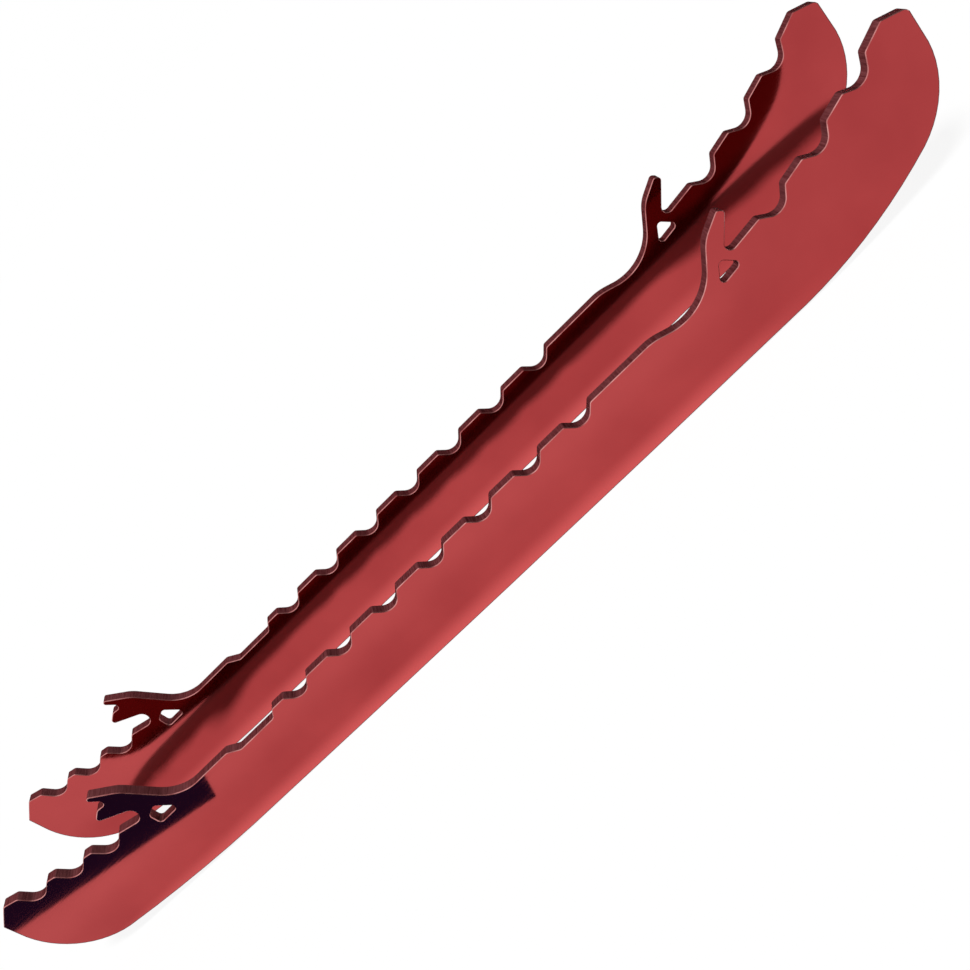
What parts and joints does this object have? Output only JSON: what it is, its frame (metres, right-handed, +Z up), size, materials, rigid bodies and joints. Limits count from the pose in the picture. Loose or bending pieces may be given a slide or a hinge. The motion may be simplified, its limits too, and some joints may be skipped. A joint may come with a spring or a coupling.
{
  "type": "hockey skate runner pair",
  "caption": "Flat steel hockey skate runners with a hollow-ground rockered edge, a scalloped seat, a toe hook and a forked heel latch, standing side by side.",
  "frame": {"origin": "on the floor, midway along the runners and midway between them", "axes": "+X along the runners towards the toe, +Y across the pair from the right runner to the left one, +Z up from the skating edges"},
  "size_m": [0.272, 0.037, 0.0351],
  "materials": {
    "runner_steel": "mirror-polished hardened steel under a thin red hard coating"
  },
  "bodies": {
    "root": {"left_runner": "runner_steel", "right_runner": "runner_steel"}
  },
  "joints": []
}
